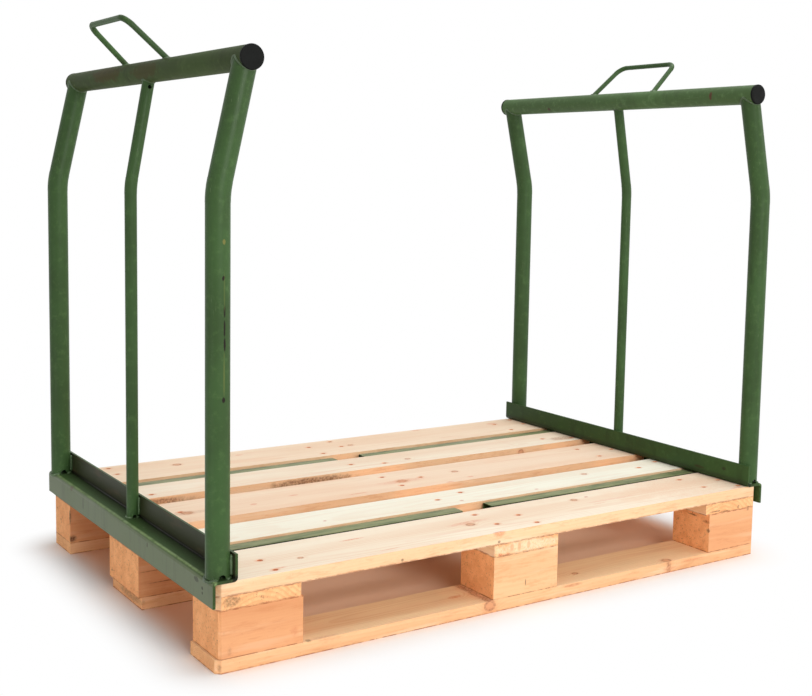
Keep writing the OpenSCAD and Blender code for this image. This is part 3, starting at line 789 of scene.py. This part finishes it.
def dress_frames():
    post = paint("green_post", (57, 85, 46), (93, 126, 72), marks=TUBE_MARKS, shine=0.15, along="z")
    bars = {
        "left": paint("green_left_bar", (66, 82, 48), (98, 118, 72), grime=0.5, marks=TUBE_MARKS,
                      shine=0.07, along="y", dull=0.2),
        # Painted light: the right crossbar's paint is the posts' green made lighter
        "right": paint("green_right_bar_lit", (76, 107, 60), (126, 160, 108), marks=TUBE_MARKS,
                       along="y", dull=0.15),
    }
    rail = paint("green_rail", (54, 80, 40), (86, 116, 64), grime=0.45, marks=RAIL_MARKS,
                 shine=0.12, zones=rail_zones, along="y")
    prong = paint("green_prong", (60, 84, 48), (96, 118, 76), rub=0.7, grime=0.5, shine=0.1,
                  zones=prong_zones)
    cap = plastic("black_cap")
    for side in ("left", "right"):
        for part in ("near_post", "far_post", "centre_post", "handle"):
            dress(f"{side}_{part}", post)
        dress(f"{side}_crossbar", bars[side])
        dress(f"{side}_base_rail", rail)
        soften(NODES[f"{side}_base_rail"], RAIL_BEVEL)
        for part in ("near_prong", "far_prong"):
            dress(f"{side}_{part}", prong)
            soften(NODES[f"{side}_{part}"], PRONG_BEVEL)
        for part in ("near_plug", "far_plug"):
            dress(f"{side}_{part}", cap)


# Weld beads, in mm: their radius round a post's foot, at the crossbar and up the flange, how far
# the last ones lie from the post's middle, and how many drops fell on the web and on the post
OUTER_WELDS = dict(foot=2.5, cope=1.9, flange=2.9, off=12.0, web_drops=16, post_drops=14)
CENTRE_WELDS = dict(foot=2.0, cope=1.5, flange=2.4, off=8.4, web_drops=10, post_drops=8)
HANDLE_BEAD, HANDLE_RIPPLE, HANDLE_DROPS, PRONG_BEAD = 1.7, 2.0, 9, 1.5
# Each post: x and y of its foot, its radius and its welds
POSTS = ((591, -383, 19, OUTER_WELDS), (591, 383, 19, OUTER_WELDS),
         (582.65, 0, 10.65, CENTRE_WELDS))
# Half angle of the vent notches at the posts' feet, in degrees
NOTCH = 21
# How far the beads lie outside the post and outside the flange, how far from the flange they end
# at the foot, how far inside the crossbar's ends they stay, and from where to where they run up
FOOT_OUT, FLANGE_OUT, FOOT_GAP, BAR_INSET = 0.6, 1.9, 2.5, 1.5
FLANGE_BEAD_Z = (WEB_Z + 3, WEB_Z + 36)
# A bead's step along its path, its ripples' length and its corners
BEAD_STEP, RIPPLE, BEAD_SIDES = 0.9, 2.4, 8
# Smallest and largest drops of spatter, on the web and on the tubes, and how far from the flange
# and the post the web's drops fell
WEB_DROP, TUBE_DROP = (0.4, 1.0), (0.35, 0.8)
DROP_GAP, DROP_AWAY = 4, (3.5, 11)
SEEDS = {"left": 41, "right": 42}


def cope_path(x, y, r):
    """Closed line where a leaning post of radius r, kinked at x, meets the crossbar."""
    lean = math.atan2(x - BAR_X, BAR_Z - BEND_Z)
    axis = Vector((-math.sin(lean), 0, math.cos(lean)))
    out = Vector((math.cos(lean), 0, math.sin(lean)))
    path = []
    for degrees in range(0, 361, 5):
        a = math.radians(degrees)
        foot = Vector((x, y, BEND_Z)) + r * 0.995 * (math.cos(a) * out + math.sin(a) * Y_AXIS)
        rel = Vector((foot.x - BAR_X, 0, foot.z - BAR_Z))
        b, c = rel.dot(axis), rel.dot(rel) - BAR_R ** 2
        at = foot + axis * (-b - math.sqrt(max(0, b * b - c)))
        at.y = max(-BAR_END + BAR_INSET, min(BAR_END - BAR_INSET, at.y))
        path.append(at)
    return path


def foot_paths(x, y, r, steps=30):
    """Three lines round a post's foot, between its vent notches, and down its outer bend."""
    stop = math.acos(max(-1, (FACE_X + FOOT_GAP - x) / r))
    near, far = math.radians(90 - NOTCH), math.radians(90 + NOTCH)
    for first, last in ((-stop, -far), (-near, near), (far, stop)):
        path = []
        for i in range(steps + 1):
            a = first + (last - first) * i / steps
            px = x + r * math.cos(a)
            drop = min(px, BEND_OUT + RAIL_R - 1) - BEND_OUT
            z = WEB_Z if drop < 0 else WEB_Z - RAIL_R + math.sqrt(RAIL_R ** 2 - drop ** 2)
            path.append(Vector((px, y + r * math.sin(a), z)))
        yield path


def handle_path(side):
    """Closed line where a foot of the handle meets the crossbar."""
    taper = math.atan2((HANDLE_FEET - HANDLE_TOP) / 2, HANDLE_L)
    up = Vector((math.sin(HANDLE_LEAN), 0, math.cos(HANDLE_LEAN)))
    axis = (math.cos(taper) * up - side * math.sin(taper) * Y_AXIS).normalized()
    foot_z = BAR_Z + math.sqrt(BAR_R ** 2 - HANDLE_X ** 2)
    start = Vector((BAR_X + HANDLE_X, -HANDLE_OFF + side * HANDLE_FEET / 2, foot_z))
    e1 = axis.cross(Y_AXIS).normalized()
    e2 = axis.cross(e1)
    flat = Vector((axis.x, 0, axis.z))
    path = []
    for degrees in range(0, 361, 9):
        a = math.radians(degrees)
        foot = start + HANDLE_R * (math.cos(a) * e1 + math.sin(a) * e2)
        rel = Vector((foot.x - BAR_X, 0, foot.z - BAR_Z))
        k, b, c = flat.dot(flat), rel.dot(flat), rel.dot(rel) - BAR_R ** 2
        path.append(foot + axis * ((-b + math.sqrt(max(0, b * b - k * c))) / k))
    return path


def bead(bm, path, radius, rnd, ripple=RIPPLE):
    """Adds a hand-laid weld bead: a tube along a path in mm, rippled, with round ends."""
    points = [path[0]]
    for a, b in zip(path, path[1:]):
        n = max(1, round((b - a).length / BEAD_STEP))
        points += [a.lerp(b, (k + 1) / n) for k in range(n)]
    last = len(points) - 1
    wander = rnd.uniform(0, 90)
    rings, s, side = [], 0.0, None
    for i, at in enumerate(points):
        ahead = (points[min(i + 1, last)] - points[max(i - 1, 0)]).normalized()
        if side is None:
            side = ahead.orthogonal().normalized()
        side = (side - ahead * side.dot(ahead)).normalized()
        other = ahead.cross(side)
        s += (at - points[i - 1]).length if i else 0
        tip = min(1, math.sqrt(max(0.02, min(i, last - i) / 3)))
        swell = 0.9 + 0.2 * abs(math.sin(math.pi * s / ripple))
        swell += 0.16 * noise.noise(Vector((s * 0.23, wander, 0)))
        ring = []
        for k in range(BEAD_SIDES):
            a = math.tau * k / BEAD_SIDES
            rough = 1 + 0.10 * noise.noise(Vector((s * 0.9, wander + 3 * k, 7)))
            out = math.cos(a) * side + math.sin(a) * other
            ring.append(bm.verts.new((at + radius * tip * swell * rough * out) * MM))
        rings.append(ring)
    for a, b in zip(rings, rings[1:]):
        for k in range(BEAD_SIDES):
            m = (k + 1) % BEAD_SIDES
            bm.faces.new((a[k], a[m], b[m], b[k]))
    bm.faces.new(rings[0][::-1])
    bm.faces.new(rings[-1])


def spatter(bm, at, radius, rnd):
    """Adds one small drop of weld spatter, squashed and lumpy."""
    made = bmesh.ops.create_icosphere(bm, subdivisions=1, radius=radius * MM)["verts"]
    for v in made:
        v.co *= 1 + 0.25 * rnd.uniform(-1, 1)
        v.co += Vector(at) * MM


def post_welds(bm, rnd, x, y, r, welds):
    for path in foot_paths(x, y, r + FOOT_OUT):
        bead(bm, path, welds["foot"], rnd)
    bead(bm, cope_path(x, y, r), welds["cope"], rnd)
    for s in (-1, 1):
        line = [Vector((FACE_X + FLANGE_OUT, y + s * welds["off"], z)) for z in FLANGE_BEAD_Z]
        bead(bm, line, welds["flange"], rnd)
    for _ in range(welds["web_drops"]):
        a, d = rnd.uniform(-1.9, 1.9), r + rnd.uniform(*DROP_AWAY)
        px, py = x + d * math.cos(a), y + d * math.sin(a)
        if FACE_X + DROP_GAP < px < BEND_OUT and abs(py) < RAIL_END:
            spatter(bm, (px, py, WEB_Z + 0.1), rnd.uniform(*WEB_DROP), rnd)
    for _ in range(welds["post_drops"]):
        a = rnd.uniform(-2.4, 2.4)
        at = (x + r * math.cos(a), y + r * math.sin(a), WEB_Z + 3 + 14 * rnd.random() ** 2)
        spatter(bm, at, rnd.uniform(*TUBE_DROP), rnd)


def handle_welds(bm, rnd, side):
    bead(bm, handle_path(side), HANDLE_BEAD, rnd, HANDLE_RIPPLE)
    for _ in range(HANDLE_DROPS):
        a, along = rnd.uniform(-0.9, 1.1), rnd.uniform(-15, 15)
        y = -HANDLE_OFF + side * HANDLE_FEET / 2 + along
        at = (BAR_X + BAR_R * math.sin(a), y, BAR_Z + BAR_R * math.cos(a))
        spatter(bm, at, rnd.uniform(*TUBE_DROP), rnd)


def prong_welds(bm, rnd, side):
    for edge in (-1, 1):
        y = side * PRONG_Y + edge * (PRONG_HALF - PRONG_INSET)
        bead(bm, [Vector((x, y, PRONG_SEAM_Z)) for x in PRONG_SEAM_X], PRONG_BEAD, rnd)


def weld_beads(side, mat):
    """One end frame's beads and spatter, in place of the CAD's plain seams."""
    rnd = random.Random(SEEDS[side])
    bm = bmesh.new()
    for post in POSTS:
        post_welds(bm, rnd, *post)
    for s in (-1, 1):
        handle_welds(bm, rnd, s)
        prong_welds(bm, rnd, s)
    if side == "left":
        bmesh.ops.rotate(bm, verts=bm.verts, matrix=Matrix.Rotation(math.pi, 3, "Z"))
    bmesh.ops.recalc_face_normals(bm, faces=bm.faces)
    me = bpy.data.meshes.new(f"{side}_weld_beads")
    bm.to_mesh(me)
    bm.free()
    me.shade_smooth()
    me.materials.append(mat)
    ob = link(bpy.data.objects.new(f"{side}_weld_beads", me))
    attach(ob, f"{side}_frame")
    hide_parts(f"{side}_welds")


make_camera()
make_world()
make_floor()
make_lamps()
dress_pallet()
dress_frames()
for which in ("left", "right"):
    weld_beads(which, paint(f"green_bead_{which}", (64, 90, 52), (126, 152, 104), grime=0.5,
                            shine=0.6))

bpy.context.scene.view_settings.view_transform = "Standard"
